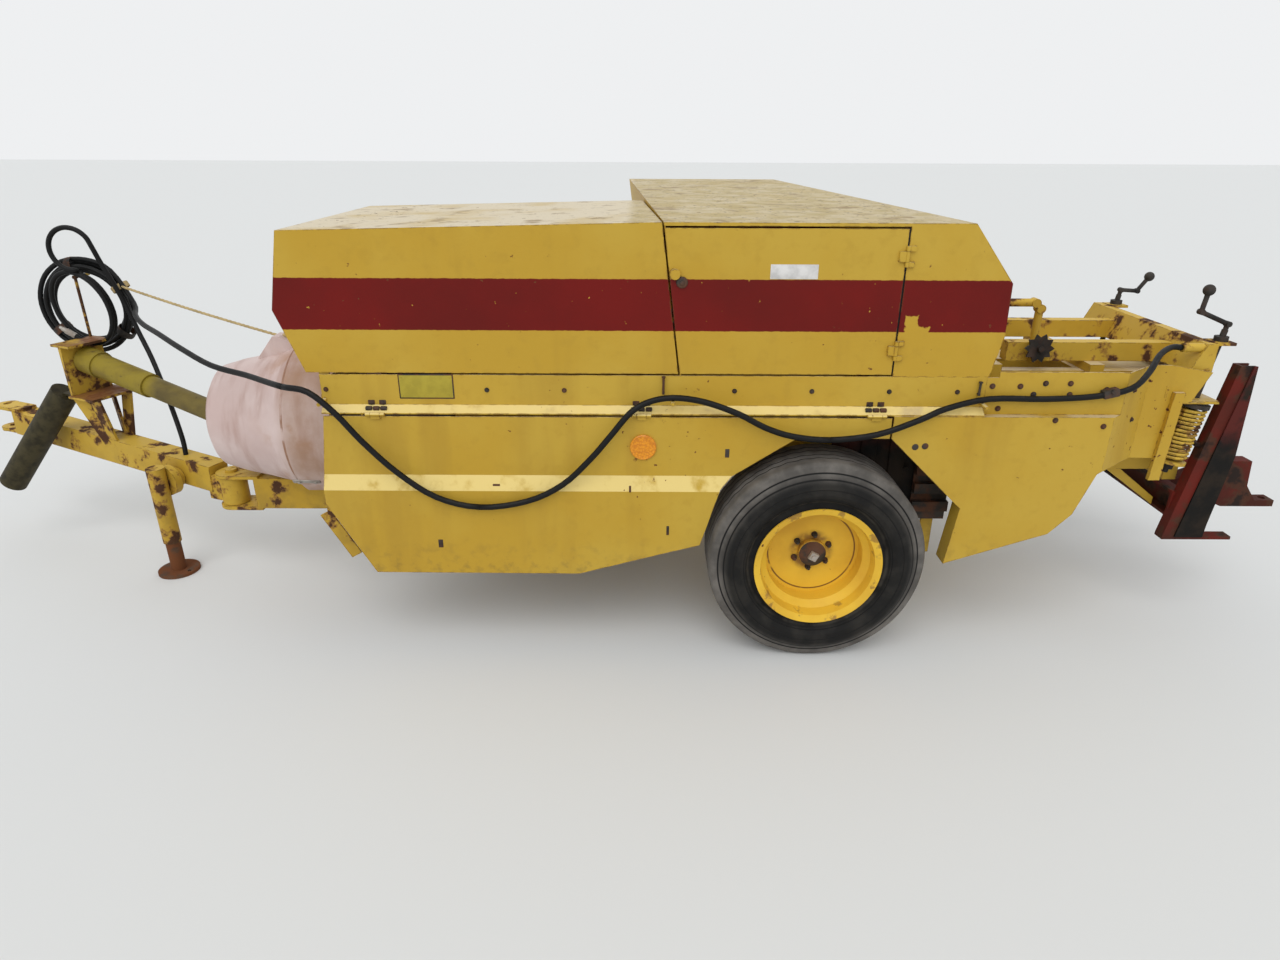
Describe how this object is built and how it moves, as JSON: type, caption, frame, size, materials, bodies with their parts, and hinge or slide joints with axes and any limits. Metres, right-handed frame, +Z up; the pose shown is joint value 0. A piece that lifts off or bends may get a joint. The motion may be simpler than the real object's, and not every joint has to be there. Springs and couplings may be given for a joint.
{
  "type": "square baler",
  "caption": "Towed farm square baler with side pickup, hooded knotters, bale chamber, swinging drawbar, stand and two wheels.",
  "frame": {"origin": "on the ground, in the middle of the whole machine's box", "axes": "+X to the rear along the bale chamber, +Y to the machine's right (the pickup side), +Z up"},
  "size_m": [5.4062, 2.4494, 1.5061],
  "materials": {
    "yellow_paint": "faded gloss paint with rust spots",
    "striped_paint": "faded gloss paint with a dark red stripe",
    "red_paint": "worn dull paint, rusty",
    "dark_steel": "oily dark steel",
    "worn_steel": "polished by the crop, rusty at the edges",
    "rusty_steel": "rusty",
    "tyre_rubber": "weathered black rubber",
    "hose_rubber": "black rubber hose",
    "cover_plastic": "sun-bleached red plastic, now pale pink",
    "grey_plastic": "weathered grey-green plastic"
  },
  "bodies": {
    "chassis": {"chassis_tongue": "yellow_paint", "bale_chamber": "yellow_paint", "gearbox": "dark_steel", "axle": "yellow_paint", "side_band": "yellow_paint", "rear_hood": "striped_paint", "rear_shield": "yellow_paint", "flywheel_cover": "cover_plastic", "feeder_housing": "yellow_paint", "feeder_forks": "dark_steel", "knotters": "dark_steel", "plunger": "dark_steel", "tension_beam": "yellow_paint", "tension_springs": "yellow_paint", "tension_cranks": "dark_steel", "end_frame": "red_paint", "rear_hitch": "red_paint", "bale_meter": "dark_steel", "knotter_tube": "yellow_paint", "end_plates": "dark_steel", "wheel_guard": "dark_steel", "hose_side": "hose_rubber"},
    "left_wheel": {"tyre_left": "tyre_rubber", "rim_left": "yellow_paint"},
    "right_wheel": {"tyre_right": "tyre_rubber", "rim_right": "yellow_paint"},
    "drawbar": {"drawbar": "yellow_paint", "shaft_tower": "yellow_paint", "shaft_guard": "yellow_paint", "open_guard": "grey_plastic", "hose_coil": "hose_rubber"},
    "stand": {"jack_leg": "yellow_paint"},
    "stand_foot": {"jack_foot": "rusty_steel"},
    "flywheel": {"flywheel": "dark_steel"},
    "front_hood": {"front_hood": "striped_paint"},
    "knotter_door": {"knotter_door": "striped_paint"},
    "front_shield": {"front_shield": "yellow_paint", "hose_sag": "hose_rubber"},
    "pickup": {"pickup_frame": "yellow_paint", "pickup_bands": "worn_steel"},
    "pickup_reel": {"pickup_reel": "rusty_steel"},
    "windguard": {"windguard": "yellow_paint"},
    "gauge_wheel": {"gauge_wheel": "tyre_rubber"},
    "needles": {"needles": "yellow_paint"}
  },
  "joints": [
    {"name": "left_wheel_spin", "type": "hinge", "parent": "chassis", "child": "left_wheel", "pos_m": [0.88265, -1.094, 0.37], "axis": [0, 1, 0], "continuous": true},
    {"name": "right_wheel_spin", "type": "hinge", "parent": "chassis", "child": "right_wheel", "pos_m": [0.88265, 1.094, 0.37], "axis": [0, 1, 0], "continuous": true},
    {"name": "drawbar_swing", "type": "hinge", "parent": "chassis", "child": "drawbar", "pos_m": [-1.38735, -0.575, 0.375], "axis": [0, 0, 1], "range_deg": [0, 38]},
    {"name": "stand_swivel", "type": "hinge", "parent": "drawbar", "child": "stand", "pos_m": [-1.68244, -0.59966, 0.4], "axis": [0.3907, 0.9205, 0], "range_deg": [0, 90]},
    {"name": "foot_slide", "type": "slide", "parent": "stand", "child": "stand_foot", "axis": [0, 0, 1], "range_m": [0, 0.12]},
    {"name": "flywheel_spin", "type": "hinge", "parent": "chassis", "child": "flywheel", "pos_m": [-1.11735, -0.575, 0.69], "axis": [1, 0, 0], "continuous": true},
    {"name": "front_hood_tilt", "type": "hinge", "parent": "chassis", "child": "front_hood", "pos_m": [-0.77735, -0.575, 0.9], "axis": [0, -1, 0], "range_deg": [0, 40]},
    {"name": "knotter_door_swing", "type": "hinge", "parent": "chassis", "child": "knotter_door", "pos_m": [1.08465, -1.112, 1.235], "axis": [0, 0, 1], "range_deg": [0, 100]},
    {"name": "front_shield_lift", "type": "hinge", "parent": "chassis", "child": "front_shield", "pos_m": [0.18265, -1.141, 0.882], "axis": [-1, 0, 0], "range_deg": [0, 90]},
    {"name": "pickup_lower", "type": "hinge", "parent": "chassis", "child": "pickup", "pos_m": [0.18265, 0.395, 0.52], "axis": [0, -1, 0], "range_deg": [0, 14]},
    {"name": "reel_spin", "type": "hinge", "parent": "pickup", "child": "pickup_reel", "pos_m": [-0.21735, 0.395, 0.5], "axis": [0, 1, 0], "continuous": true},
    {"name": "windguard_lift", "type": "hinge", "parent": "pickup", "child": "windguard", "pos_m": [0.03265, 0.395, 0.8], "axis": [0, 1, 0], "range_deg": [0, 35]},
    {"name": "gauge_wheel_spin", "type": "hinge", "parent": "pickup", "child": "gauge_wheel", "pos_m": [-0.26735, 1.081, 0.24], "axis": [0, 1, 0], "continuous": true},
    {"name": "needle_stroke", "type": "hinge", "parent": "chassis", "child": "needles", "pos_m": [1.35265, -0.575, 0.76], "axis": [0, 1, 0], "range_deg": [0, 60]}
  ]
}
